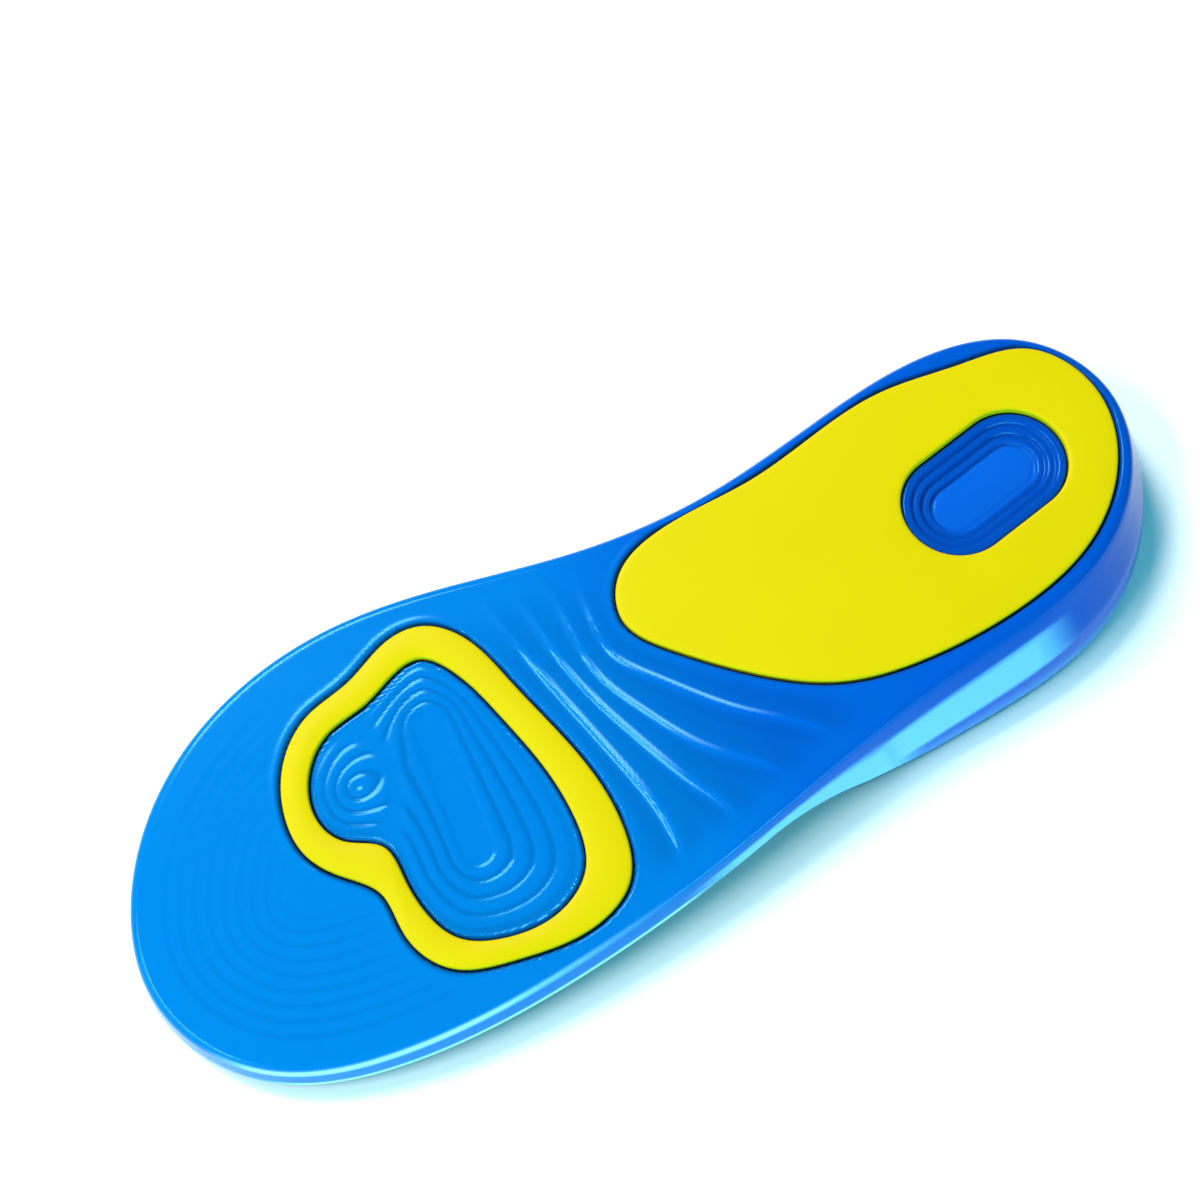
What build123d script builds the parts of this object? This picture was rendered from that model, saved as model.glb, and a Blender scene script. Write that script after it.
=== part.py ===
from build123d import *
import os
from math import asin, cos, hypot, sin

os.makedirs("parts", exist_ok=True)

# ---- driving dimensions, mm ----
HEEL_HEIGHT = 26.3        # sole face above the floor at the back of the heel
FORE_THICKNESS = 7.0      # gel and cover together, under the ball of the foot and the toes
COVER_THICKNESS = 1.2     # textile cover on the foot side
CUP_GEL = 8.0             # gel left between the sole face and the floor of the heel cup
CUP_WALL = 4.5            # gel wall of the heel cup at its root
RIM_WALL = 3.0            # gel wall of the heel cup at its rim
SOLE_LENGTH = 271.1       # sole face, heel to toe
HEEL_X = -130.2           # back of the sole face from the middle of the whole insole
AXIS_Y = 4.2              # heel axis from the middle of the whole width
BULGE_DEPTH = 10.0        # the wall has made most of its flare this far below the sole face
BULGE_SHARE = 0.69
RIM_DEPTH = 28.5          # deep enough to pass the floor everywhere under the heel
RIM_RISE_START = 80.0     # where the rim leaves the floor, from the back of the heel
RIM_RISE_END = 130.0      # where the rim has run out into the forefoot
SOLE_EDGE_IN, SOLE_EDGE_DOWN = 1.0, 1.2   # bevel of the sole's edge
INLAY_DEPTH = 2.2         # how far the yellow inlays sink into the gel
INLAY_PROUD = 0.5         # and how far they stand out of it
INLAY_EDGE = 0.7
GROOVE = 0.3              # open line round every inlay
POCKET_HEIGHT = INLAY_DEPTH + 1.0
WINDOW_AT = (38.5, 0.0)
WINDOW_LENGTH, WINDOW_WIDTH = 45.0, 27.5
WINDOW_TURN = 6.0
PAD_TOP = 1.0             # rim of the heel pad below the sole face
PAD_BOTTOM = 6.2
PAD_STEPS = 3
PAD_STEP_IN, PAD_STEP_DOWN = 2.4, 0.9

# The insole lies sole side up on its cup rim and its toe, so the sole face falls towards the toe.
PITCH = asin((HEEL_HEIGHT - FORE_THICKNESS) / SOLE_LENGTH)
SOLE = Plane(
    origin=(HEEL_X, AXIS_Y, HEEL_HEIGHT),
    x_dir=(cos(PITCH), 0, -sin(PITCH)),
    z_dir=(sin(PITCH), 0, cos(PITCH)),
)

# Edge of the sole face: distance from the heel, distance across (+ is the little toe's side),
# and how far the cup rim would stand outside it there.
SOLE_EDGE = [
    (-1.5, -4, 5.6), (7.5, -26, 7.5), (30, -36, 6.5), (60, -36.3, 6), (96, -34.3, 6),
    (131, -39, 6), (162, -48.5, 5), (192, -55, 4.5), (227, -51, 4.5), (255, -33, 4.5),
    (269, 1, 4.5), (256, 28, 5), (227, 41.5, 6.5), (187, 45.5, 7.5), (141, 43, 8),
    (96, 37, 9), (55, 33.7, 12.3), (20, 26.8, 9.2),
]
PLATE_EDGE = [
    (1, -8), (8, -23.5), (25, -29.5), (46, -34), (62, -33.8), (86, -31.8), (112, -32.8),
    (127, -27.5), (131.5, -18), (125.5, -5), (111, 12), (97, 23), (76, 29.5), (50, 31),
    (28, 27), (12, 17), (3, 4),
]
RING_EDGE = [
    (158.5, 0), (162, -19.5), (166.5, -36.5), (173.5, -43.5), (182, -44.5), (195, -40.5),
    (207, -38.5), (217.5, -31.5), (223.5, -20), (224, -9.5), (219, 0), (213.5, 8),
    (213.5, 19.5), (208, 32), (195, 38), (174, 41), (164, 37), (158, 24),
]
RING_HOLE = [
    (166.5, 0), (168.5, -13.5), (172.5, -29.5), (178, -36.5), (184, -36.5), (194, -33.5),
    (205, -32), (213.5, -26), (217.5, -14.5), (214.5, -7), (207.5, -1), (207, 8), (207, 16),
    (203.5, 26.5), (194, 32.5), (181, 34), (171, 29), (166.5, 16.5),
]


def closed_curve(points, plane):
    """Face inside one smooth closed curve on the given plane."""
    with BuildSketch(plane) as sketch:
        with BuildLine():
            Spline(*points, periodic=True)
        make_face()
    return sketch.sketch


def moved_out(points, distances):
    """Closed outline's points, each moved out along the outline's own normal there."""
    moved = []
    for i, ((x, y), out) in enumerate(zip(points, distances)):
        x0, y0 = points[i - 1]
        x1, y1 = points[(i + 1) % len(points)]
        run = hypot(x1 - x0, y1 - y0)
        moved.append((x + out * (y1 - y0) / run, y - out * (x1 - x0) / run))
    return moved


def wall_section(depth, flare_share, inset=0.0):
    """Section of the insole's wall at a depth below the sole face."""
    edge = [(x, y) for x, y, _ in SOLE_EDGE]
    flares = [flare * flare_share - inset for _, _, flare in SOLE_EDGE]
    return closed_curve(moved_out(edge, flares), SOLE.offset(-depth))


def inlay_curve(points, depth, out=0.0):
    """Outline of an inlay, or of its pocket when moved out by the groove."""
    return closed_curve(moved_out(points, [out] * len(points)), SOLE.offset(-depth))


def side_point(x, depth):
    """Point of the lengthwise section at x along the sole and depth below it."""
    return (HEEL_X + x * cos(PITCH) - depth * sin(PITCH), HEEL_HEIGHT - x * sin(PITCH) - depth * cos(PITCH))


def under_profile(rim_height, thickness):
    """Everything below the rim line at the heel and below the forefoot, as one prism."""
    reach, pull, half_width = 220, 24, 90
    start = (side_point(RIM_RISE_START, 0)[0], rim_height)
    end = side_point(RIM_RISE_END, thickness)
    far = side_point(RIM_RISE_END + reach, thickness)
    with BuildPart() as prism:
        with BuildSketch(Plane.XZ):
            with BuildLine():
                Line((-reach, rim_height), start)
                Bezier(start, (start[0] + pull, start[1]), (end[0] - pull, end[1] + pull * sin(PITCH)), end)
                Polyline(end, far, (far[0], -reach), (-reach, -reach), (-reach, rim_height))
            make_face()
        extrude(amount=half_width, both=True)
    return prism.part


def window(depth, shrink=0.0):
    """Oval window of the heel plate, on a plane below the sole face."""
    with BuildSketch(SOLE.offset(-depth)) as oval:
        with Locations(WINDOW_AT):
            SlotOverall(WINDOW_LENGTH - 2 * shrink, WINDOW_WIDTH - 2 * shrink, rotation=WINDOW_TURN)
    return oval.sketch


# ---- hollow of the foot side: the heel cup, once for the gel and once for the lined cup ----
with BuildPart() as gel_cup:
    loft([wall_section(CUP_GEL, 0.5, CUP_WALL), wall_section(RIM_DEPTH, 1, RIM_WALL)])

with BuildPart() as lined_cup:
    loft([
        wall_section(CUP_GEL + COVER_THICKNESS, 0.5, CUP_WALL + COVER_THICKNESS),
        wall_section(RIM_DEPTH, 1, RIM_WALL + COVER_THICKNESS),
    ])

# ---- gel body: sole, heel cup and forefoot in one moulding ----
with BuildPart() as shape:
    loft(
        [
            wall_section(0, 0, SOLE_EDGE_IN),
            wall_section(SOLE_EDGE_DOWN, 0),
            wall_section(BULGE_DEPTH, BULGE_SHARE),
            wall_section(RIM_DEPTH, 1),
        ],
        ruled=True,
    )

with BuildPart() as gel_underside:
    add(gel_cup.part)
    add(under_profile(COVER_THICKNESS, FORE_THICKNESS - COVER_THICKNESS))

# ---- textile cover: lines the cup and the whole foot side, and wraps the rim's edge ----
with BuildPart() as top_cover:
    add(shape.part)
    add(lined_cup.part, mode=Mode.SUBTRACT)
    add(under_profile(0, FORE_THICKNESS), mode=Mode.SUBTRACT)
    add(gel_underside.part, mode=Mode.INTERSECT)

# ---- yellow inlays and the pad in the window ----
with BuildPart() as arch_heel_plate:
    extrude(inlay_curve(PLATE_EDGE, INLAY_DEPTH), INLAY_DEPTH + INLAY_PROUD)
    fillet(arch_heel_plate.faces().sort_by(Axis.Z)[-1].edges(), INLAY_EDGE)
    extrude(window(INLAY_DEPTH), INLAY_DEPTH + INLAY_PROUD, mode=Mode.SUBTRACT)

with BuildPart() as forefoot_ring:
    extrude(inlay_curve(RING_EDGE, INLAY_DEPTH), INLAY_DEPTH + INLAY_PROUD)
    extrude(inlay_curve(RING_HOLE, INLAY_DEPTH), INLAY_DEPTH + INLAY_PROUD, mode=Mode.SUBTRACT)
    fillet(forefoot_ring.faces().sort_by(Axis.Z)[-1].edges(), INLAY_EDGE)

with BuildPart() as heel_gel_pad:
    extrude(window(PAD_BOTTOM, GROOVE), PAD_BOTTOM - PAD_TOP)
    for step in range(1, PAD_STEPS + 1):
        step_down = PAD_TOP + step * PAD_STEP_DOWN
        extrude(window(step_down, GROOVE + step * PAD_STEP_IN), PAD_BOTTOM, mode=Mode.SUBTRACT)

with BuildPart() as pockets:
    extrude(inlay_curve(RING_EDGE, INLAY_DEPTH, GROOVE), POCKET_HEIGHT)
    extrude(inlay_curve(RING_HOLE, INLAY_DEPTH, -GROOVE), POCKET_HEIGHT, mode=Mode.SUBTRACT)
    extrude(inlay_curve(PLATE_EDGE, INLAY_DEPTH, GROOVE), POCKET_HEIGHT)
    extrude(window(PAD_BOTTOM), PAD_BOTTOM)

with BuildPart() as gel_body:
    add(shape.part)
    add(pockets.part, mode=Mode.SUBTRACT)
    add(gel_underside.part, mode=Mode.SUBTRACT)

gel_body.part.label = "gel_body"
export_step(gel_body.part, "parts/gel_body.step")
top_cover.part.label = "top_cover"
export_step(top_cover.part, "parts/top_cover.step")
arch_heel_plate.part.label = "arch_heel_plate"
export_step(arch_heel_plate.part, "parts/arch_heel_plate.step")
forefoot_ring.part.label = "forefoot_ring"
export_step(forefoot_ring.part, "parts/forefoot_ring.step")
heel_gel_pad.part.label = "heel_gel_pad"
export_step(heel_gel_pad.part, "parts/heel_gel_pad.step")
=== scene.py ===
from math import asin, cos, pi, sin

import bmesh
import bpy
import numpy as np
from mathutils import Matrix, Vector


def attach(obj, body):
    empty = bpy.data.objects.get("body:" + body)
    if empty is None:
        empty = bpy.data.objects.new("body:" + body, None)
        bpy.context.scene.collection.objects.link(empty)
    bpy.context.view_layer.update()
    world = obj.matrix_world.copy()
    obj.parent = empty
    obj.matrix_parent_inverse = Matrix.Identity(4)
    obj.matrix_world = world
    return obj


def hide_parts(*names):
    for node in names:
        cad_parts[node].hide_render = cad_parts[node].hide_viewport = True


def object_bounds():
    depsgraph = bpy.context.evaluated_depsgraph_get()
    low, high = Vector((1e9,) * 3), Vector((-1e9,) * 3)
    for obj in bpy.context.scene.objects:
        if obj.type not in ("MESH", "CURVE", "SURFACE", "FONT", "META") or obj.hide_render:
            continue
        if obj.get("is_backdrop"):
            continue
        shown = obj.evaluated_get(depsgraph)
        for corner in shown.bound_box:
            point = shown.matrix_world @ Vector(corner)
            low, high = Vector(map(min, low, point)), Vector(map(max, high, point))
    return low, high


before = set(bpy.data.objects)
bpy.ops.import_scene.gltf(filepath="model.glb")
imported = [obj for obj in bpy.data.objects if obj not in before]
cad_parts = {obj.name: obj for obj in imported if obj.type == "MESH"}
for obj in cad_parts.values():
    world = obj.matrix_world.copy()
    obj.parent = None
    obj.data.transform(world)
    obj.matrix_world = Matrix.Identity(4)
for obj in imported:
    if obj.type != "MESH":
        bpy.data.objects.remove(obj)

cad_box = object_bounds()

# Lengths below are millimetres in the sole's own frame: x from the back of the heel to the toe,
# y across (+ is the little toe's side), and w up, out of the sole face. to_row() turns them into
# the row frame in metres. Pairs passed to smooth() and plateau() say where a step starts and ends.
MM = 0.001

# ---- the CAD's driving dimensions ----
HEEL_HEIGHT, FORE_THICKNESS, COVER_THICKNESS = 26.3, 7.0, 1.2
CUP_GEL, CUP_WALL, RIM_WALL, RIM_DEPTH = 8.0, 4.5, 3.0, 28.5
SOLE_LENGTH, HEEL_X, AXIS_Y = 271.1, -130.2, 4.2
RIM_RISE_START, RIM_RISE_END = 80.0, 130.0
INLAY_DEPTH, GROOVE = 2.2, 0.3
WINDOW_AT, WINDOW_LENGTH, WINDOW_WIDTH, WINDOW_TURN = (38.5, 0.0), 45.0, 27.5, 6.0
PAD_TOP, PAD_BOTTOM, PAD_STEPS, PAD_STEP_IN, PAD_STEP_DOWN = 1.0, 6.2, 3, 2.4, 0.9
PITCH = asin((HEEL_HEIGHT - FORE_THICKNESS) / SOLE_LENGTH)

# Edge of the sole face: x, y, and how far the cup rim would stand outside it there.
SOLE_EDGE = [
    (-1.5, -4, 5.6), (7.5, -26, 7.5), (30, -36, 6.5), (60, -36.3, 6), (96, -34.3, 6),
    (131, -39, 6), (162, -48.5, 5), (192, -55, 4.5), (227, -51, 4.5), (255, -33, 4.5),
    (269, 1, 4.5), (256, 28, 5), (227, 41.5, 6.5), (187, 45.5, 7.5), (141, 43, 8),
    (96, 37, 9), (55, 33.7, 12.3), (20, 26.8, 9.2),
]
PLATE_EDGE = [
    (1, -8), (8, -23.5), (25, -29.5), (46, -34), (62, -33.8), (86, -31.8), (112, -32.8),
    (127, -27.5), (131.5, -18), (125.5, -5), (111, 12), (97, 23), (76, 29.5), (50, 31),
    (28, 27), (12, 17), (3, 4),
]
RING_EDGE = [
    (158.5, 0), (162, -19.5), (166.5, -36.5), (173.5, -43.5), (182, -44.5), (195, -40.5),
    (207, -38.5), (217.5, -31.5), (223.5, -20), (224, -9.5), (219, 0), (213.5, 8),
    (213.5, 19.5), (208, 32), (195, 38), (174, 41), (164, 37), (158, 24),
]
RING_HOLE = [
    (166.5, 0), (168.5, -13.5), (172.5, -29.5), (178, -36.5), (184, -36.5), (194, -33.5),
    (205, -32), (213.5, -26), (217.5, -14.5), (214.5, -7), (207.5, -1), (207, 8), (207, 16),
    (203.5, 26.5), (194, 32.5), (181, 34), (171, 29), (166.5, 16.5),
]

# ---- midfoot waves ----
# Crest lines, from the big toe's side to the little toe's side.
WAVES = [
    [(157, -47), (157, -36), (155.5, -24), (152.5, -3), (149.5, 18), (149, 32), (153, 47)],
    [(150, -45), (149.5, -30), (148.5, -12), (144, 8), (138, 27), (135, 36), (136, 46)],
    [(142, -42), (142.5, -26), (143.5, -10), (139, 4), (131, 20), (121, 33), (118, 43)],
    [(135, -40), (136.5, -26), (138, -13), (132, -1), (119, 17), (107, 30), (102, 40)],
]
WAVE_HEIGHT, WAVE_HALF_WIDTH, WAVE_POWER = 1.05, 3.2, 1.15
WAVE_AHEAD = 0.5                       # a crest's toe side is this share of its heel side's width
WAVE_END_SHARE = 0.08                  # share of its height that a crest keeps at its ends
WAVE_RISE, WAVE_FALL = (4, 34), 16     # y from a crest's first point, and back from its last
# Painted highlight: pale lines along the wave crests, across the middle of the sole.
CREST_GLINT, CREST_SHARES = 0.6, (0.84, 0.97)
CREST_ACROSS = (-22, -6), (12, 24)
# VALLEY_SHADE is painted shade in the valleys between the crests.
VALLEY_REACH, VALLEY_SHADE = 6.5, 0.45

# ---- terraces inside the ring ----
BEAN_AXIS, BEAN_RADIUS = ((184, -21), (189.5, 11)), 3.4
LOBE_AT, LOBE_SCALE = (205.5, -17), (0.85, 1.0)
TERRACES = 4.5
# NEST_SHADE is painted shade between the terraces' ridges.
NEST_DEPTH, NEST_HEIGHT, NEST_SHADE = 0.8, 0.2, 0.28
NEST_RISE = 0.3                        # share of its depth that the nest loses towards the ring
NEST_RIDGE = (0.0, 0.28), (0.55, 1.0)  # share of a terrace's width
NEST_CENTRE, NEST_MEETING = (0.0, 0.08), (0.02, 0.14)
NEST_START = (0.2, 1.6)                # in from the edge of the ring's hole

# ---- trim arcs at the toe ----
TOE_ARCS, TOE_ARC_FIRST, TOE_ARC_PITCH = 9, 6.0, 3.4
# TOE_SHADE is painted shade along the arcs.
TOE_ARC_HEIGHT, TOE_ARC_WIDTH, TOE_SHADE = 0.07, 0.17, 0.14
TOE_ARCS_BEGIN = (-0.2, 0.3)           # in arcs, from the first one
TOE_ARCS_ALONG, TOE_ARCS_ACROSS = (200, 236), (-28, 12)
TOE_ARC_FAINT = 0.3                    # share of their height on the big toe's side
TOE_ARCS_FROM_RING = (1, 5)

# ---- gel round the inlays ----
POCKET_SLOPE = (-GROOVE - 0.45, -GROOVE + 0.1)
POCKET_CLEAR = 0.1                     # pocket floors stand this far over the CAD's
WINDOW_MARGIN = 1.0
LIP_AT, LIP_HALF_WIDTH, LIP_HEIGHT = 1.5, 0.9, 0.12
# Painted shade: a dark line along the grooves round the inlays and the ring's hole.
GROOVE_SHADE_AT, GROOVE_SHADE_WIDTH = 0.2, 0.75
CLEAR_OF_PLATE, CLEAR_OF_RING, CLEAR_OF_EDGE = (0.5, 5), (0.5, 4), (1.5, 8)

# ---- wall, cup and cover ----
EDGE_IN, EDGE_DOWN, EDGE_PULL = 1.7, 2.2, 0.3
# The wall is straight between the facet's two depths, and has FACET_SHARE of its flare at the first.
WALL_BULGE, WALL_FACET, FACET_SHARE = 2.69, (5.0, 12.0), 0.32
CUP_FLARE = 0.5                        # share of the flare that the cup's floor has
RIM_TUCK, RIM_TUCK_SHARES = 0.5, (0.93, 1.0)
CLOTH_GAP = 0.06
HEM_IN, HEM_ROUND, HEM_SHARES = 0.35, 0.25, (0.0, 0.3, 0.7, 1.0)

# ---- painted light: where the gel is painted paler, as if lit or catching a highlight ----
# Along x, and by depth or by the share of the wall's height from its edge to its rim.
# The side, across y, that the painted highlights fall on.
LIT_SIDE_ACROSS = (2, 20)
# How pale the painted highlight bands and the painted rim glow are.
PAINTED_BAND_LIGHT, PAINTED_RIM_GLOW = 0.8, 0.3
# Painted highlight bands on the little toe's side: heel, middle and forefoot.
HEEL_LIT_BAND, HEEL_LIT_BAND_DEPTHS = ((38, 52), (92, 112)), ((5.0, 6.2), (12.2, 13.6))
MIDDLE_LIT_BAND, MIDDLE_LIT_BAND_SHARES = ((82, 98), (138, 158)), (0.15, 0.4)
FORE_LIT_BAND, FORE_LIT_BAND_SHARES = ((138, 158), (248, 264)), (0.62, 0.8)
# Painted glow of every rim, by share of the wall's height:
RIM_GLOW_SHARES = (0.6, 0.95)
# Painted highlight line along the forefoot's rounded edge, on the little toe's side:
EDGE_HIGHLIGHT, EDGE_HIGHLIGHT_SHARES = ((150, 215), (256, 266)), ((0.35, 0.55), (0.75, 0.95))

# ---- sections of the inlays: distance in from the outline, and height ----
# Over the sole plane.
INLAY_SECTION = [
    (0.1, -1.9), (0.0, -1.2), (0.0, -0.3), (0.06, 0.02),
    (0.2, 0.24), (0.42, 0.38), (0.72, 0.46), (1.1, 0.5),
]
PLATE_CROWN, RING_CROWN, RING_CENTRE = 0.12, 0.2, (190, -3)
# Over the heel pad's rim, over the tread above a step, and over the tread below it.
PAD_LIP = [(0.0, -0.5), (0.25, -0.1), (0.7, 0.0)]
STEP_TOP = [(-0.75, 0.0), (-0.4, -0.08), (-0.1, -0.4)]
STEP_FOOT = [(0.15, -0.12), (0.5, -0.2), (1.0, 0.0)]
PAD_CLEAR = 0.2                        # underside of the pad over its pocket's floor
PAD_CROWN = 0.15
PAD_FLOOR_TONE = (5.5, 8.5)            # in from the pad's outline

# ---- mesh density ----
AROUND, ACROSS = 1100, 84              # samples round the insole, rows from the spine to the edge
EDGE_ROWS, WALL_ROWS, CUP_ROWS, UNDER_ROWS = 10, 26, 12, 14
INLAY_AROUND, INLAY_ROWS = 1200, 34
PAD_AROUND, PAD_FLOOR_ROWS = 420, 8
CURVE_SAMPLES, WAVE_SAMPLES, SLOT_DENSITY = 2400, 90, 4
CHUNK = 4000                           # points per step of the distance sums
TINY, LEAST_GAP, LEAST_RADIUS = 1e-12, 1e-6, 1e-5
MERGE_WITHIN = 2e-6                    # metres


def smooth(value, low, high):
    """0 below low, 1 above high, and a smooth step between."""
    t = np.clip((np.asarray(value, float) - low) / (high - low), 0, 1)
    return t * t * (3 - 2 * t)


def plateau(value, rise, fall):
    """1 between the smooth steps rise and fall, and 0 outside them."""
    return smooth(value, *rise) * (1 - smooth(value, *fall))


def to_row(x, y, w):
    """Sole frame in mm to the row frame in metres."""
    x, y, w = np.broadcast_arrays(x, y, w)
    return np.stack([
        HEEL_X + x * cos(PITCH) + w * sin(PITCH),
        AXIS_Y + y,
        HEEL_HEIGHT - x * sin(PITCH) + w * cos(PITCH),
    ], axis=-1) * MM


def points_at(p, w):
    """Points of the sole plane at height w, in the row frame."""
    return to_row(p[:, 0], p[:, 1], w)


# ---- closed curves ----
def spline(values, closed, count):
    """Cubic spline through the rows of values, sampled count times along its chords."""
    p = np.asarray(values, float)
    if closed:
        p = np.vstack([p, p[:1]])
    step = np.linalg.norm(np.diff(p[:, :2], axis=0), axis=1)
    at = np.r_[0, np.cumsum(step)]
    n = len(p)
    system, right = np.zeros((n, n)), np.zeros_like(p)
    for i in range(1, n - 1):
        system[i, i - 1: i + 2] = step[i - 1], 2 * (step[i - 1] + step[i]), step[i]
        right[i] = 6 * ((p[i + 1] - p[i]) / step[i] - (p[i] - p[i - 1]) / step[i - 1])
    if closed:
        system[0, [0, 1, n - 2]] = 2 * (step[0] + step[-1]), step[0], step[-1]
        right[0] = 6 * ((p[1] - p[0]) / step[0] - (p[-1] - p[-2]) / step[-1])
        system[-1, 0], system[-1, -1] = 1, -1
    else:
        system[0, 0] = system[-1, -1] = 1
    bend = np.linalg.solve(system, right)
    s = np.linspace(0, at[-1], count, endpoint=not closed)
    i = np.clip(np.searchsorted(at, s, side="right") - 1, 0, n - 2)
    h, a = step[i][:, None], ((at[i + 1] - s) / step[i])[:, None]
    b = 1 - a
    curve = (a**3 - a) * bend[i] + (b**3 - b) * bend[i + 1]
    return a * p[i] + b * p[i + 1] + curve * h * h / 6


def even(loop, count):
    """The same closed loop with its samples evenly spaced."""
    closed = np.vstack([loop, loop[:1]])
    run = np.r_[0, np.cumsum(np.linalg.norm(np.diff(closed[:, :2], axis=0), axis=1))]
    s = np.linspace(0, run[-1], count, endpoint=False)
    return np.stack([np.interp(s, run, closed[:, k]) for k in range(loop.shape[1])], axis=1)


def outline(points, count):
    """Smooth closed curve through the points, as count evenly spaced samples."""
    return even(spline(points, True, CURVE_SAMPLES), count)


def normals(loop):
    """Outward unit normals of a closed loop that runs anticlockwise."""
    along = np.roll(loop[:, :2], -1, axis=0) - np.roll(loop[:, :2], 1, axis=0)
    out = np.stack([along[:, 1], -along[:, 0]], axis=1)
    return out / np.linalg.norm(out, axis=1)[:, None]


def distance(points, line, closed=True):
    """Distance of each point to a polyline."""
    a = line[:, :2]
    b = np.roll(a, -1, axis=0) if closed else a[1:]
    a = a if closed else a[:-1]
    ab = b - a
    length2 = np.maximum((ab * ab).sum(1), TINY)
    result = np.empty(len(points))
    for start in range(0, len(points), CHUNK):
        p = points[start: start + CHUNK, None, :] - a[None]
        t = np.clip((p * ab).sum(2) / length2, 0, 1)
        gap = p - t[..., None] * ab
        result[start: start + CHUNK] = np.sqrt((gap * gap).sum(2).min(1))
    return result


def inside(points, loop):
    """True where a point is inside the closed loop."""
    a, b = loop[:, :2], np.roll(loop[:, :2], -1, axis=0)
    result = np.empty(len(points), bool)
    for start in range(0, len(points), CHUNK):
        x, y = points[start: start + CHUNK, 0:1], points[start: start + CHUNK, 1:2]
        spans = (a[None, :, 1] > y) != (b[None, :, 1] > y)
        rise = np.where(b[:, 1] == a[:, 1], TINY, b[:, 1] - a[:, 1])
        cross = a[:, 0] + (y - a[:, 1]) * (b[:, 0] - a[:, 0]) / rise
        result[start: start + CHUNK] = (spans & (x < cross)).sum(1) % 2 == 1
    return result


def signed(points, loop, margin=9.0, far=99.0):
    """Distance to the loop, negative inside it, and far where a point is past the margin."""
    low, high = loop[:, :2].min(0) - margin, loop[:, :2].max(0) + margin
    near = ((points > low) & (points < high)).all(1)
    result = np.full(len(points), far)
    close = points[near]
    result[near] = np.where(inside(close, loop), -1, 1) * distance(close, loop)
    return result


def cast(origins, directions, loop):
    """Where a ray from each origin last meets the loop, with the loop's other columns."""
    a, b = loop, np.roll(loop, -1, axis=0)
    e = (b - a)[:, :2]
    d = directions[:, None, :]
    w = a[None, :, :2] - origins[:, None, :]
    det = d[..., 0] * e[:, 1] - d[..., 1] * e[:, 0]
    det = np.where(abs(det) < TINY, TINY, det)
    t = (w[..., 0] * e[:, 1] - w[..., 1] * e[:, 0]) / det
    u = (w[..., 0] * d[..., 1] - w[..., 1] * d[..., 0]) / det
    t = np.where((u >= 0) & (u <= 1) & (t > 0), t, -1)
    k = t.argmax(1)
    share = u[np.arange(len(k)), k][:, None]
    return a[k] * (1 - share) + b[k] * share


def slot_loop(shrink, count):
    """Stadium outline of the plate's window, made smaller all round by shrink."""
    radius = max(WINDOW_WIDTH / 2 - shrink, LEAST_RADIUS)
    half = WINDOW_LENGTH / 2 - shrink - radius
    a = 2 * pi * np.arange(count * SLOT_DENSITY) / (count * SLOT_DENSITY)
    x = radius * np.cos(a) + half * np.sign(np.cos(a))
    y = radius * np.sin(a)
    turn = WINDOW_TURN * pi / 180
    loop = np.stack([x * cos(turn) - y * sin(turn), x * sin(turn) + y * cos(turn)], axis=1)
    return even(loop + np.array(WINDOW_AT), count)


# ---- outlines, and the rays from the spine that the gel and the cover are woven on ----
sole_loop = outline(SOLE_EDGE, 900)
plate_loop = outline(PLATE_EDGE, 700)
ring_loop = outline(RING_EDGE, 700)
hole_loop = outline(RING_HOLE, 600)

SPINE = np.array([(46.0, 0.0), (222.0, -4.5)])
spine_axis = (SPINE[1] - SPINE[0]) / np.linalg.norm(SPINE[1] - SPINE[0])
spine_side = np.array([-spine_axis[1], spine_axis[0]])
angle = 2 * pi * np.arange(AROUND) / AROUND
spine = SPINE.mean(0) + np.cos(angle)[:, None] * (SPINE[1] - SPINE[0]) / 2
ray = np.cos(angle)[:, None] * spine_axis + np.sin(angle)[:, None] * spine_side
flared_edge = cast(spine, ray, sole_loop)
edge, flare = flared_edge[:, :2], flared_edge[:, 2]
edge_normal = normals(edge)


# ---- relief of the sole face ----
def wave_relief(p):
    """Soft waves across the midfoot: height, painted shade in the valleys, painted highlight on the
    crests.
    """
    total, near = np.zeros(len(p)), np.zeros(len(p))
    for crest in WAVES:
        line = spline(crest, False, WAVE_SAMPLES)
        gap = distance(p, line, closed=False)
        nearest = np.interp(p[:, 1], line[:, 1], line[:, 0])
        ahead = p[:, 0] > nearest
        width = np.where(ahead, WAVE_HALF_WIDTH * WAVE_AHEAD, WAVE_HALF_WIDTH)
        first, last = crest[0][1], crest[-1][1]
        rise = first + WAVE_RISE[0], first + WAVE_RISE[1]
        ends = plateau(p[:, 1], rise, (last - WAVE_FALL, last))
        share = WAVE_END_SHARE + (1 - WAVE_END_SHARE) * ends
        total = np.maximum(total, np.exp(-((gap / width) ** WAVE_POWER)) * share)
        near = np.maximum(near, np.exp(-((gap / VALLEY_REACH) ** 2)) * ends)
    # Painted highlight along each crest.
    glint = CREST_GLINT * smooth(total, *CREST_SHARES) * plateau(p[:, 1], *CREST_ACROSS)
    return WAVE_HEIGHT * total, near * (1 - total) ** 2, glint


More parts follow.
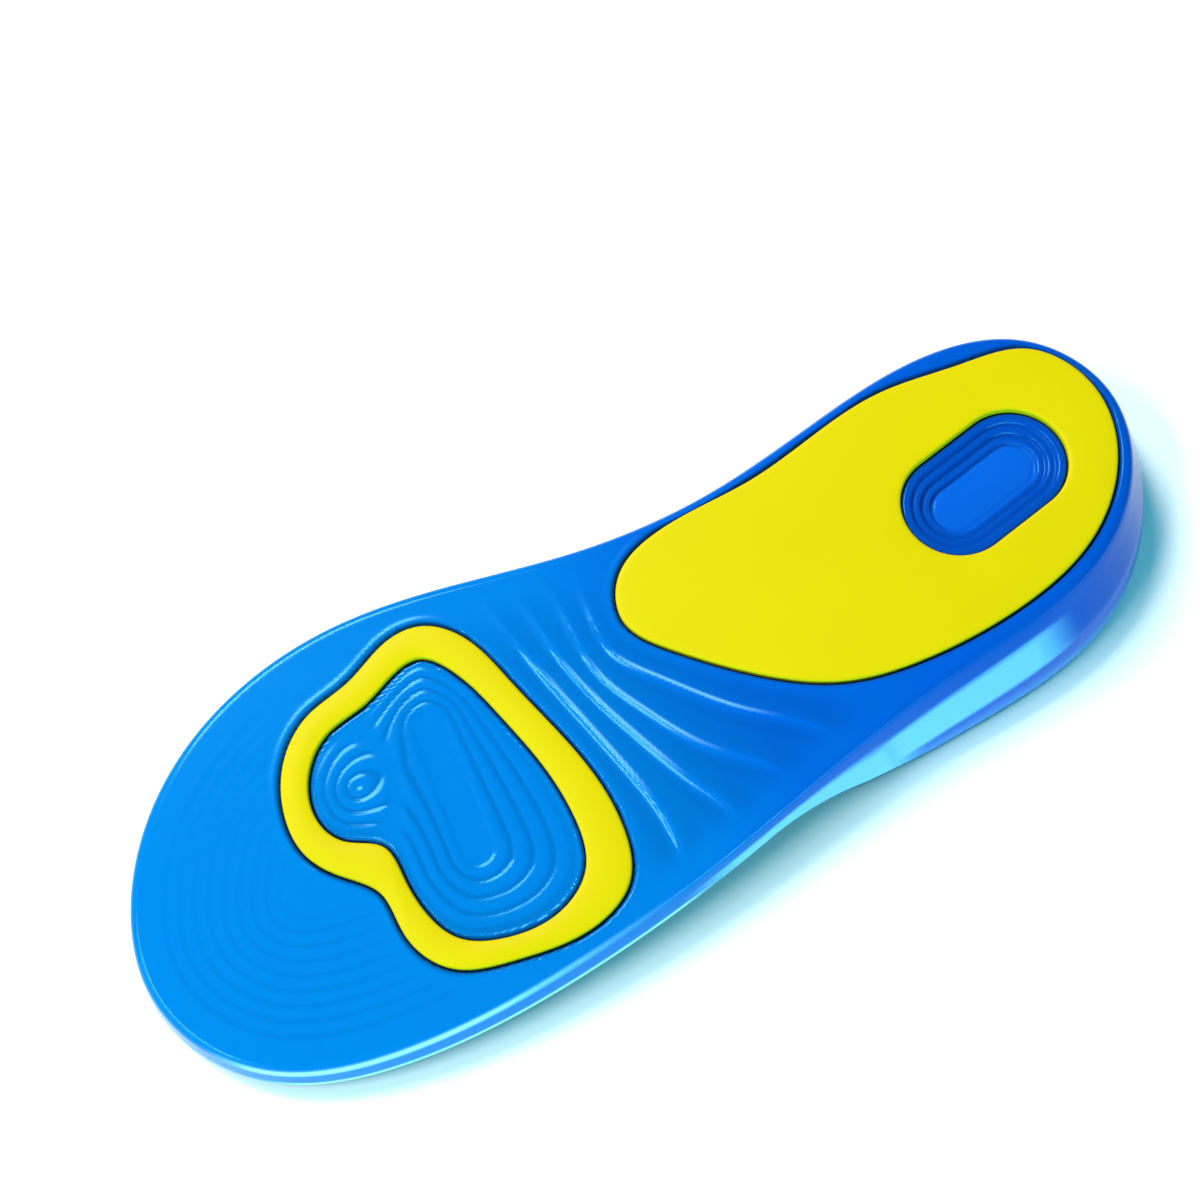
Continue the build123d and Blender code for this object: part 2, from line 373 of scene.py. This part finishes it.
def nest_relief(p, to_hole):
    """Terraces inside the ring, a nested bean and a round nest: height, and painted shade between the
    steps.
    """
    bean = np.maximum(distance(p, np.array(BEAN_AXIS, float), closed=False) - BEAN_RADIUS, 0)
    lobe = np.linalg.norm((p - np.array(LOBE_AT)) * LOBE_SCALE, axis=1)
    bean_level = bean / np.maximum(bean + to_hole, LEAST_GAP)
    lobe_level = lobe / np.maximum(lobe + to_hole, LEAST_GAP)
    level = np.minimum(bean_level, lobe_level)
    ridge = plateau((level * TERRACES) % 1, *NEST_RIDGE)
    plain = smooth(level, *NEST_CENTRE) * smooth(abs(bean_level - lobe_level), *NEST_MEETING)
    height = NEST_HEIGHT * ridge * plain - NEST_DEPTH * (1 - NEST_RISE * level)
    return height, (1 - ridge) ** 2 * plain


def toe_relief(p, from_edge):
    """Faint trim steps that follow the toe's outline."""
    steps = (from_edge - TOE_ARC_FIRST) / TOE_ARC_PITCH
    height = TOE_ARC_HEIGHT * np.exp(-(((steps % 1 - 0.5) / TOE_ARC_WIDTH) ** 2))
    in_band = plateau(steps, TOE_ARCS_BEGIN, (TOE_ARCS - 1, TOE_ARCS))
    across = TOE_ARC_FAINT + (1 - TOE_ARC_FAINT) * smooth(p[:, 1], *TOE_ARCS_ACROSS)
    return height * in_band * smooth(p[:, 0], *TOE_ARCS_ALONG) * across


def sole_relief(p):
    """Height of the gel over the sole plane, painted shade, and painted highlight on the wave crests.
    """
    from_edge = distance(p, sole_loop)
    to_plate, to_ring, to_hole = (signed(p, loop) for loop in (plate_loop, ring_loop, hole_loop))
    to_window = signed(p, slot_loop(0, 300))

    nest, line = np.zeros(len(p)), np.zeros(len(p))
    within = to_hole < 0
    nest[within], line[within] = nest_relief(p[within], -to_hole[within])
    nest = nest * smooth(-to_hole, *NEST_START)
    wave, painted_valley_shade, glint = wave_relief(p)
    open_gel = smooth(to_plate, *CLEAR_OF_PLATE) * smooth(to_ring, *CLEAR_OF_RING)
    open_gel = open_gel * smooth(from_edge, *CLEAR_OF_EDGE)
    arcs = toe_relief(p, from_edge) * smooth(to_ring, *TOE_ARCS_FROM_RING)
    to_lip = np.minimum(abs(to_plate - LIP_AT), abs(to_ring - LIP_AT))
    lip = np.exp(-((to_lip / LIP_HALF_WIDTH) ** 2)) * LIP_HEIGHT
    height = wave * open_gel + arcs + lip + nest

    in_ring = np.minimum(smooth(-to_ring, *POCKET_SLOPE), smooth(to_hole, *POCKET_SLOPE))
    in_inlay = np.maximum(smooth(-to_plate, *POCKET_SLOPE), in_ring)
    height = height * (1 - in_inlay) - (INLAY_DEPTH - POCKET_CLEAR) * in_inlay
    height = np.where(to_window < WINDOW_MARGIN, -PAD_BOTTOM + POCKET_CLEAR, height)

    # Painted shade: a dark line along each groove round the inlays and the ring's hole.
    to_line = np.minimum(abs(to_plate - GROOVE_SHADE_AT), abs(to_ring - GROOVE_SHADE_AT))
    to_line = np.minimum(to_line, abs(to_hole + GROOVE_SHADE_AT))
    dark = np.exp(-((to_line / GROOVE_SHADE_WIDTH) ** 2))
    # Painted shade in the wave valleys.
    dark = np.maximum(dark, VALLEY_SHADE * painted_valley_shade * open_gel)
    # Painted shade between the terrace ridges.
    dark = np.maximum(dark, NEST_SHADE * line)
    # Painted shade along the toe arcs.
    dark = np.maximum(dark, TOE_SHADE * arcs / TOE_ARC_HEIGHT)
    return height, dark, glint * open_gel


# ---- wall and underside ----
def flare_share(depth):
    """How much of its full flare the wall has made at a depth: bulged, with a straight facet."""
    def bulged(d):
        return 1 - (1 - np.clip(d / RIM_DEPTH, 0, 1)) ** WALL_BULGE
    top, low = WALL_FACET
    depth = np.asarray(depth, float)
    facet = FACET_SHARE + (bulged(low) - FACET_SHARE) * (depth - top) / (low - top)
    shoulder = bulged(depth) * FACET_SHARE / bulged(top)
    return np.where(depth < top, shoulder, np.where(depth < low, facet, bulged(depth)))


def painted_wall_light(x, y, depth, u):
    """Painted light on the wall: highlight bands down the little toe's side, and a paler rim all
    round.
    """
    side = smooth(y, *LIT_SIDE_ACROSS)
    heel = PAINTED_BAND_LIGHT * plateau(x, *HEEL_LIT_BAND) * plateau(depth, *HEEL_LIT_BAND_DEPTHS)
    middle = PAINTED_BAND_LIGHT * plateau(x, *MIDDLE_LIT_BAND) * smooth(u, *MIDDLE_LIT_BAND_SHARES)
    fore = plateau(x, *FORE_LIT_BAND) * smooth(u, *FORE_LIT_BAND_SHARES)
    in_band = np.maximum(np.maximum(heel, middle), fore)
    # Painted glow: every rim paler all round, as if lit from within.
    return np.maximum(side * in_band, PAINTED_RIM_GLOW * smooth(u, *RIM_GLOW_SHARES))


def rim_depth(x, lift):
    """Depth of the rim line: on the floor round the cup, then up to the forefoot's underside."""
    floor = (HEEL_HEIGHT - x * sin(PITCH) - lift) / cos(PITCH)
    fore = FORE_THICKNESS - lift
    return floor + (fore - floor) * smooth(x, RIM_RISE_START, RIM_RISE_END)


def cup_depth(x, lining):
    """Depth of the cup's floor, or of the forefoot's underside."""
    back = CUP_GEL + lining
    fore = FORE_THICKNESS - COVER_THICKNESS + lining
    return back + (fore - back) * smooth(x, RIM_RISE_START, RIM_RISE_END)


def inner_out(depth, lining):
    """How far the cup's inner wall stands outside the sole edge."""
    share = (depth - CUP_GEL) / (RIM_DEPTH - CUP_GEL)
    at_floor, at_rim = CUP_FLARE * flare - CUP_WALL, flare - RIM_WALL
    return at_floor + (at_rim - at_floor) * np.clip(share, 0, 1) - lining


def wall_row(out, depth):
    """A row of the wall: the sole edge moved out along its normals."""
    p = edge + edge_normal * np.broadcast_to(out, len(edge))[:, None]
    return points_at(p, -np.broadcast_to(depth, len(edge)))


def cup_rows(rim, lining, shares):
    """Rows of the cup's inner wall, by their share of the way from the rim to the cup's floor."""
    floor = cup_depth(edge[:, 0], lining)
    depths = [rim + u * (floor - rim) for u in shares]
    return [wall_row(inner_out(depth, lining), depth) for depth in depths]


def under_rows(lining, shares):
    """Rows of the foot side, by their share of the way from the cup's wall to the spine."""
    start = edge + edge_normal * inner_out(cup_depth(edge[:, 0], lining), lining)[:, None]
    plans = [start + u * (spine - start) for u in shares]
    return [points_at(p, -cup_depth(p[:, 0], lining)) for p in plans]


def weave(name, rows, shades=None):
    """Closed mesh from rows of points round a piece. The end rows are one and the same row, or each
    falls in on a line; shades are point attributes."""
    rows = np.asarray(rows)
    count, around = rows.shape[:2]
    r, k = np.meshgrid(np.arange(count - 1), np.arange(around), indexing="ij")
    k1 = (k + 1) % around
    corners = [r * around + k, r * around + k1, (r + 1) * around + k1, (r + 1) * around + k]
    quads = np.stack(corners, axis=-1)
    mesh = bpy.data.meshes.new(name)
    mesh.from_pydata(rows.reshape(-1, 3).tolist(), [], quads.reshape(-1, 4).tolist())
    for key, values in (shades or {}).items():
        layer = mesh.attributes.new(key, "FLOAT", "POINT")
        layer.data.foreach_set("value", np.asarray(values, np.float32).ravel())
    work = bmesh.new()
    work.from_mesh(mesh)
    bmesh.ops.remove_doubles(work, verts=work.verts, dist=MERGE_WITHIN)
    bmesh.ops.recalc_face_normals(work, faces=work.faces)
    work.to_mesh(mesh)
    work.free()
    mesh.shade_smooth()
    piece = bpy.data.objects.new(name, mesh)
    bpy.context.collection.objects.link(piece)
    return piece


def gel_body():
    """Sole face with its relief, rounded edge, flared wall, cup and forefoot underside."""
    inner_edge = edge - edge_normal * EDGE_IN
    shares = np.linspace(0, 1, ACROSS)
    plan = spine[None] + shares[:, None, None] * (inner_edge - spine)[None]
    flat = plan.reshape(-1, 2)
    # Besides heights, the face brings painted shade and painted highlight on the wave crests.
    height, dark, painted_light = sole_relief(flat)
    # No groove may break the edge, so the last row of the face doesn't sink.
    last_height = np.maximum(height[-AROUND:], 0)
    height[-AROUND:] = last_height
    rows = list(points_at(flat, height).reshape(ACROSS, AROUND, 3))
    painted_lights = list(painted_light.reshape(ACROSS, AROUND))

    x, y = edge[:, 0], edge[:, 1]
    edge_out = flare * flare_share(EDGE_DOWN)
    for u in np.linspace(0, 1, EDGE_ROWS + 1)[1:]:
        out = (1 - u) ** 2 * -EDGE_IN + 2 * u * (1 - u) * EDGE_PULL + u * u * edge_out
        rows.append(wall_row(out, u * u * EDGE_DOWN - last_height * (1 - u) ** 2))
        # Painted highlight: a pale line along the forefoot's rounded edge.
        line = plateau(u, *EDGE_HIGHLIGHT_SHARES) * smooth(y, *LIT_SIDE_ACROSS) * plateau(x, *EDGE_HIGHLIGHT)
        painted_lights.append(line)
    bottom = rim_depth(x, COVER_THICKNESS)
    for u in np.linspace(0, 1, WALL_ROWS + 1)[1:]:
        depth = EDGE_DOWN + u * (bottom - EDGE_DOWN)
        tuck = RIM_TUCK * smooth(u, *RIM_TUCK_SHARES)
        rows.append(wall_row(flare * flare_share(depth) - tuck, depth))
        # Painted highlight bands and rim glow on the wall.
        painted_lights.append(painted_wall_light(x, y, depth, u))
    rows += cup_rows(bottom, 0, np.linspace(0, 1, CUP_ROWS))
    rows += under_rows(0, np.linspace(0, 1, UNDER_ROWS + 1)[1:])

    # Painted shade, on the sole face only.
    painted_shades = np.zeros((len(rows), AROUND))
    painted_shades[:ACROSS] = dark.reshape(ACROSS, AROUND)
    # No painted light on the cup or the foot side.
    painted_lights += [np.zeros(AROUND)] * (len(rows) - len(painted_lights))
    return weave("gel_moulding", rows, {"painted_shade": painted_shades, "painted_light": np.array(painted_lights)})


def cover():
    """Textile over the whole foot side: it wraps the rim and lines the cup."""
    gel_rim = rim_depth(edge[:, 0], COVER_THICKNESS) + CLOTH_GAP
    rim = rim_depth(edge[:, 0], 0)
    rows = under_rows(CLOTH_GAP, np.linspace(1, 0, UNDER_ROWS + 1))
    rows += cup_rows(gel_rim, CLOTH_GAP, np.linspace(1, 0, CUP_ROWS)[1:])
    outer = flare * flare_share(gel_rim) - HEM_IN
    for u in HEM_SHARES:
        rows.append(wall_row(outer - HEM_ROUND * (2 * u - 1) ** 2, gel_rim + u * (rim - gel_rim)))
    rows += cup_rows(rim, COVER_THICKNESS, np.linspace(0, 1, CUP_ROWS))
    rows += under_rows(COVER_THICKNESS, np.linspace(0, 1, UNDER_ROWS + 1)[1:])
    return weave("cover_cloth", rows)


# ---- inlays ----
def band(name, outer, inner, centre, crown):
    """Flat inlay between an outer outline and a hole, with rounded edges all round."""
    a = 2 * pi * np.arange(INLAY_AROUND) / INLAY_AROUND
    origins = np.tile(np.asarray(centre, float), (INLAY_AROUND, 1))
    rays = np.stack([np.cos(a), np.sin(a)], axis=1)
    out_loop, in_loop = cast(origins, rays, outer), cast(origins, rays, inner)
    out_normal, in_normal = normals(out_loop), normals(in_loop)
    rows = [points_at(out_loop - out_normal * inset, w) for inset, w in INLAY_SECTION]
    last_inset, top = INLAY_SECTION[-1]
    far, near = out_loop - out_normal * last_inset, in_loop + in_normal * last_inset
    for u in np.linspace(0, 1, INLAY_ROWS)[1:-1]:
        rows.append(points_at(far + u * (near - far), top + crown * 4 * u * (1 - u)))
    rows += [points_at(in_loop + in_normal * inset, w) for inset, w in reversed(INLAY_SECTION)]
    rows.append(rows[0])
    return weave(name, rows)


def heel_pad():
    """Stepped dish of darker gel in the plate's window, with a flat oval floor."""
    inner = WINDOW_WIDTH / 2
    underside = -PAD_BOTTOM + PAD_CLEAR
    section = [(inner, underside), (GROOVE, underside)]
    section += [(GROOVE + inset, w - PAD_TOP) for inset, w in PAD_LIP]
    for step in range(1, PAD_STEPS + 1):
        at, tread = GROOVE + step * PAD_STEP_IN, -PAD_TOP - step * PAD_STEP_DOWN
        section += [(at + inset, tread + PAD_STEP_DOWN + w) for inset, w in STEP_TOP]
        section += [(at + inset, tread + w) for inset, w in STEP_FOOT]
    for u in np.linspace(0.25, 1, PAD_FLOOR_ROWS):
        section.append((at + (inner - at) * u, tread + PAD_CROWN * u))
    floor_from, floor_to = (GROOVE + inset for inset in PAD_FLOOR_TONE)
    rows, tones = [], []
    for inset, w in section:
        rows.append(points_at(slot_loop(inset, PAD_AROUND), w))
        tones.append(np.full(PAD_AROUND, float(smooth(inset, floor_from, floor_to))))
    return weave("heel_dish", rows, {"tone": np.array(tones)})


# ---- materials ----
def srgb(*screen):
    """Linear colour of an 8-bit screen colour."""
    return tuple(
        (c / 255) / 12.92 if c <= 10 else ((c / 255 + 0.055) / 1.055) ** 2.4 for c in screen
    ) + (1.0,)


# Base colour of the blue gel by its share of the length, from heel to toe.
BLUE_TINT = [
    (0.0, srgb(1, 72, 172)), (0.3, srgb(1, 79, 177)), (0.46, srgb(1, 87, 179)),
    (0.56, srgb(1, 108, 184)), (0.72, srgb(1, 111, 183)), (1.0, srgb(1, 115, 186)),
]
# BLUE_CLOUD is a random tone; the second, darker blue is painted shade.
BLUE_CLOUD, BLUE_PAINTED_SHADE = srgb(1, 86, 172), srgb(2, 40, 100)
# Paler blues painted where the gel is lit or catches a highlight.
BLUE_PAINTED_LIGHT, BLUE_PAINTED_HIGHLIGHT, PAINTED_HIGHLIGHT_FROM = srgb(118, 180, 228), srgb(178, 224, 238), 0.75
DISH_WALL, DISH_FLOOR = srgb(3, 66, 158), srgb(8, 88, 190)
YELLOW, YELLOW_CLOUD = srgb(213, 184, 1), srgb(206, 178, 2)
KNIT_LOW, KNIT_HIGH = srgb(14, 34, 74), srgb(38, 74, 128)
TINT_BEHIND = 15          # the blue's change of tint starts this far behind the sole face


def new_material(name):
    """New node material: itself, its nodes, its links and its shader."""
    material = bpy.data.materials.new(name)
    material.use_nodes = True
    nodes, links = material.node_tree.nodes, material.node_tree.links
    return material, nodes, links, nodes["Principled BSDF"]


def configure(node, values):
    """Sets constant inputs of a node by name."""
    for name, value in values.items():
        node.inputs[name].default_value = value


def ramp(nodes, stops):
    """Colour ramp node through the stops."""
    node = nodes.new("ShaderNodeValToRGB")
    node.color_ramp.elements[0].position, node.color_ramp.elements[0].color = stops[0]
    node.color_ramp.elements[1].position, node.color_ramp.elements[1].color = stops[-1]
    for position, colour in stops[1:-1]:
        node.color_ramp.elements.new(position).color = colour
    return node


def mix_colour(nodes, links, factor, a, b):
    """Socket that goes from a to b as factor goes from 0 to 1; a and b are sockets or colours."""
    node = nodes.new("ShaderNodeMix")
    node.data_type = "RGBA"
    links.new(factor, node.inputs["Factor"])
    for socket, value in ((node.inputs[6], a), (node.inputs[7], b)):
        if isinstance(value, tuple):
            socket.default_value = value
        else:
            links.new(value, socket)
    return node.outputs[2]


def stretch(nodes, links, value, low, high, top=1.0):
    """Socket that goes from 0 to top as value goes from low to high."""
    node = nodes.new("ShaderNodeMapRange")
    configure(node, {"From Min": low, "From Max": high, "To Max": top})
    links.new(value, node.inputs["Value"])
    return node.outputs["Result"]


def attribute(nodes, name):
    """Socket with the value of a mesh attribute."""
    node = nodes.new("ShaderNodeAttribute")
    node.attribute_name = name
    return node.outputs["Fac"]


def cloud(nodes, links, coordinate, scale):
    """Soft noise node."""
    node = nodes.new("ShaderNodeTexNoise")
    node.inputs["Scale"].default_value = scale
    links.new(coordinate, node.inputs["Vector"])
    return node


def soft_gel(bsdf, roughness):
    """Glossy gel that reflects cyan and scatters blue light."""
    configure(bsdf, {
        "Roughness": roughness,
        "IOR": 1.38,
        "Specular IOR Level": 0.36,
        "Specular Tint": (0.12, 0.7, 1.0, 1),
        "Coat Weight": 0.04,
        "Coat Roughness": 0.06,
        "Subsurface Weight": 0.2,
        "Subsurface Radius": (0.15, 0.5, 1.0),
        "Subsurface Scale": 0.004,
    })


def bumps(nodes, links, bsdf, height, distance_m, strength):
    """Raises the surface by a height socket, without moving its points."""
    bump = nodes.new("ShaderNodeBump")
    configure(bump, {"Strength": strength, "Distance": distance_m})
    links.new(height, bump.inputs["Height"])
    links.new(bump.outputs["Normal"], bsdf.inputs["Normal"])


def ripple(nodes, links, bsdf, coordinate, scale, distance_m, strength):
    """Very slight unevenness of a moulded surface."""
    noise = cloud(nodes, links, coordinate, scale)
    noise.inputs["Detail"].default_value = 3.0
    bumps(nodes, links, bsdf, noise.outputs["Fac"], distance_m, strength)


def blue_gel():
    """Azure over the forefoot, deeper blue at the heel; painted shade in hollows, painted light where
    lit.
    """
    material, nodes, links, bsdf = new_material("blue_gel")
    place = nodes.new("ShaderNodeTexCoord").outputs["Object"]
    split = nodes.new("ShaderNodeSeparateXYZ")
    links.new(place, split.inputs[0])
    heel, toe = (HEEL_X - TINT_BEHIND) * MM, (HEEL_X + SOLE_LENGTH) * MM
    tint = ramp(nodes, BLUE_TINT)
    links.new(stretch(nodes, links, split.outputs["X"], heel, toe), tint.inputs["Fac"])
    noise = cloud(nodes, links, place, 26).outputs["Fac"]
    cloudiness = stretch(nodes, links, noise, 0.0, 1.0, top=0.16)
    colour = mix_colour(nodes, links, cloudiness, tint.outputs["Color"], BLUE_CLOUD)
    # Painted shade: darker blue in grooves, wave valleys, terrace steps and toe arcs.
    colour = mix_colour(nodes, links, attribute(nodes, "painted_shade"), colour, BLUE_PAINTED_SHADE)
    # Painted light: paler blue, then near white cyan, where the mesh attribute says light falls.
    painted_light = attribute(nodes, "painted_light")
    for low, high, pale in ((0.0, PAINTED_HIGHLIGHT_FROM, BLUE_PAINTED_LIGHT), (PAINTED_HIGHLIGHT_FROM, 1.0, BLUE_PAINTED_HIGHLIGHT)):
        colour = mix_colour(nodes, links, stretch(nodes, links, painted_light, low, high), colour, pale)
    links.new(colour, bsdf.inputs["Base Color"])
    soft_gel(bsdf, 0.14)
    ripple(nodes, links, bsdf, place, 70, 0.00012, 0.6)
    return material


def deep_gel():
    """Darker gel of the heel dish, lighter on its flat floor."""
    material, nodes, links, bsdf = new_material("deep_blue_gel")
    place = nodes.new("ShaderNodeTexCoord").outputs["Object"]
    colour = mix_colour(nodes, links, attribute(nodes, "tone"), DISH_WALL, DISH_FLOOR)
    links.new(colour, bsdf.inputs["Base Color"])
    soft_gel(bsdf, 0.18)
    ripple(nodes, links, bsdf, place, 90, 0.0001, 0.6)
    return material


def yellow_gel():
    """Firm opaque gel with a satin, faintly grained skin."""
    material, nodes, links, bsdf = new_material("yellow_gel")
    place = nodes.new("ShaderNodeTexCoord").outputs["Object"]
    noise = cloud(nodes, links, place, 38).outputs["Fac"]
    links.new(mix_colour(nodes, links, noise, YELLOW, YELLOW_CLOUD), bsdf.inputs["Base Color"])
    configure(bsdf, {
        "Roughness": 0.42,
        "IOR": 1.4,
        "Specular IOR Level": 0.07,
        "Subsurface Weight": 0.08,
        "Subsurface Radius": (1.0, 0.8, 0.2),
        "Subsurface Scale": 0.002,
    })
    ripple(nodes, links, bsdf, place, 900, 0.00003, 0.5)
    return material


def textile():
    """Fine knitted cloth, dark blue."""
    material, nodes, links, bsdf = new_material("cover_textile")
    place = nodes.new("ShaderNodeTexCoord").outputs["Object"]
    knit = nodes.new("ShaderNodeMath")
    knit.operation = "MULTIPLY"
    for socket, direction in zip(knit.inputs, ("X", "Y")):
        wave = nodes.new("ShaderNodeTexWave")
        wave.wave_type, wave.bands_direction = "BANDS", direction
        configure(wave, {"Scale": 260, "Distortion": 0.6})
        links.new(place, wave.inputs["Vector"])
        links.new(wave.outputs["Fac"], socket)
    colour = mix_colour(nodes, links, knit.outputs[0], KNIT_LOW, KNIT_HIGH)
    links.new(colour, bsdf.inputs["Base Color"])
    configure(bsdf, {"Roughness": 0.9, "Sheen Weight": 0.35})
    bumps(nodes, links, bsdf, knit.outputs[0], 0.00025, 0.7)
    return material


def pale_floor():
    """Matt white studio floor."""
    material, _, _, bsdf = new_material("floor")
    configure(bsdf, {
        "Base Color": (0.96, 0.96, 0.96, 1),
        "Roughness": 0.9,
        "Specular IOR Level": 0.1,
    })
    return material


def finish_piece(piece, material, node):
    """Gives a piece its material, puts it under the root body, and hides the CAD node that it stands
    for.
    """
    piece.data.materials.append(material)
    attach(piece, "root")
    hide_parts(node)


# ---- the object ----
yellow = yellow_gel()
finish_piece(gel_body(), blue_gel(), "gel_body")
finish_piece(heel_pad(), deep_gel(), "heel_gel_pad")
plate = band("plate_inlay", plate_loop, slot_loop(0, 700), WINDOW_AT, PLATE_CROWN)
finish_piece(plate, yellow, "arch_heel_plate")
ring = band("ring_inlay", ring_loop, hole_loop, RING_CENTRE, RING_CROWN)
finish_piece(ring, yellow, "forefoot_ring")
cloth = cover()
finish_piece(cloth, textile(), "top_cover")

# ---- floor, light and camera, in metres ----
FLOOR_HALF, FLOOR_GAP = 3.0, 0.0001
floor_corners = [(-1, -1), (1, -1), (1, 1), (-1, 1)]
floor_z = cad_box[0][2] - FLOOR_GAP
floor_mesh = bpy.data.meshes.new("floor")
floor_mesh.from_pydata(
    [(x * FLOOR_HALF, y * FLOOR_HALF, floor_z) for x, y in floor_corners], [], [(0, 1, 2, 3)]
)
floor = bpy.data.objects.new("floor", floor_mesh)
bpy.context.collection.objects.link(floor)
floor_mesh.materials.append(pale_floor())
floor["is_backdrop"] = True

world = bpy.data.worlds.new("studio")
bpy.context.scene.world = world
world.use_nodes = True
configure(world.node_tree.nodes["Background"], {"Color": (0.12, 0.8, 1.0, 1), "Strength": 0.32})
bpy.context.scene.view_settings.view_transform = "Standard"

# The camera stands over the little toe's side, looking down past the heel cup.
CAMERA_AT = Vector((HEEL_X + 227.2, AXIS_Y + 126.6, 437.9)) * MM
CAMERA_RIGHT = Vector((-0.8497, 0.5272, 0.0)).normalized()
CAMERA_LOOK = Vector((-0.2060, -0.3320, -0.9205)).normalized()
camera_up = CAMERA_RIGHT.cross(CAMERA_LOOK)
turn = Matrix((CAMERA_RIGHT, camera_up, -CAMERA_LOOK)).transposed().to_4x4()
lens = bpy.data.cameras.new("camera")
lens.lens, lens.sensor_width = 57.0, 36.0
camera = bpy.data.objects.new("camera", lens)
camera.matrix_world = Matrix.Translation(CAMERA_AT) @ turn
bpy.context.collection.objects.link(camera)
bpy.context.scene.camera = camera

near_side = -(CAMERA_LOOK - Vector((0, 0, CAMERA_LOOK.z))).normalized()
LIGHTS_AIM = Vector((0, 0, 0.01))


def softbox(name, right, near, height, size, power, colour=(1.0, 1.0, 1.0)):
    """Area light placed by how far right and how near to the camera's side it stands."""
    light = bpy.data.lights.new(name, "AREA")
    light.shape = "RECTANGLE"
    light.size, light.size_y = size
    light.energy = power
    light.color = colour
    lamp = bpy.data.objects.new(name, light)
    at = CAMERA_RIGHT * right + near_side * near + Vector((0, 0, height))
    aim = (LIGHTS_AIM - at).to_track_quat("-Z", "Y")
    lamp.matrix_world = Matrix.Translation(at) @ aim.to_matrix().to_4x4()
    bpy.context.collection.objects.link(lamp)


COOL = (0.25, 0.86, 1.0)
softbox("key", -0.72, -0.75, 1.27, (0.55, 0.55), 29)
softbox("crest", -0.66, 0.22, 0.92, (0.6, 0.11), 6.5)
softbox("side", -1.2, 0.5, 0.9, (0.9, 0.9), 5, COOL)
softbox("front", 0.25, 0.85, 0.16, (1.3, 0.1), 10, COOL)

for block in (cad_box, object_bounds()):
    print([[round(float(v), 4) for v in corner] for corner in block])
